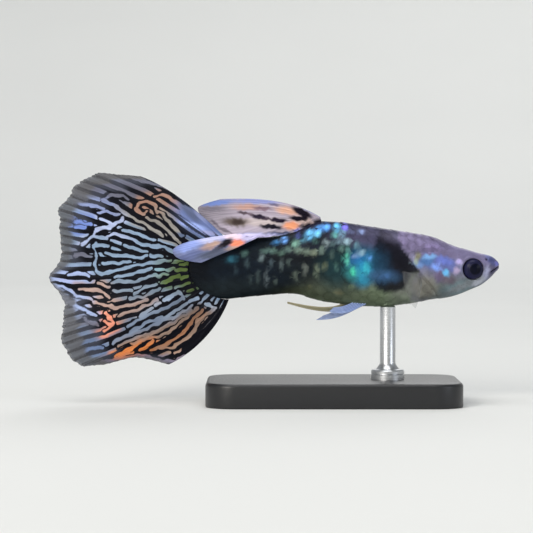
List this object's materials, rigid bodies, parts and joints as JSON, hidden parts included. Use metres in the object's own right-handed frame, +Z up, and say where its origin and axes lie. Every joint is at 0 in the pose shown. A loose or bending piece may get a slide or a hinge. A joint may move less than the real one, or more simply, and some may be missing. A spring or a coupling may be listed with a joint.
{
  "type": "fancy guppy",
  "caption": "Still, life-size male fancy guppy with a spread fan tail and a folded dorsal fin, held level over a flat base by one short rod.",
  "frame": {"origin": "middle of the underside of the stand's base", "axes": "+X towards the fish's snout, +Z up, -Y towards the fish's right side, which the picture shows"},
  "size_m": [0.0466, 0.015, 0.0239],
  "materials": {
    "head_skin": "satin",
    "body_skin": "satin",
    "stem_skin": "satin",
    "eye": "gloss",
    "tail_fin": "satin",
    "dorsal_fin": "satin",
    "clear_fin": "satin",
    "rod_steel": "brushed",
    "base_paint": "matte"
  },
  "bodies": {
    "root": {"head": "head_skin", "trunk": "body_skin", "tail_stem": "stem_skin", "eye_left": "eye", "eye_right": "eye", "dorsal_fin": "dorsal_fin", "tail_fin": "tail_fin", "pectoral_fin_left": "clear_fin", "pectoral_fin_right": "clear_fin", "pelvic_fin_left": "clear_fin", "pelvic_fin_right": "clear_fin", "anal_fin": "clear_fin", "stand_rod": "rod_steel", "stand_base": "base_paint"}
  },
  "joints": []
}
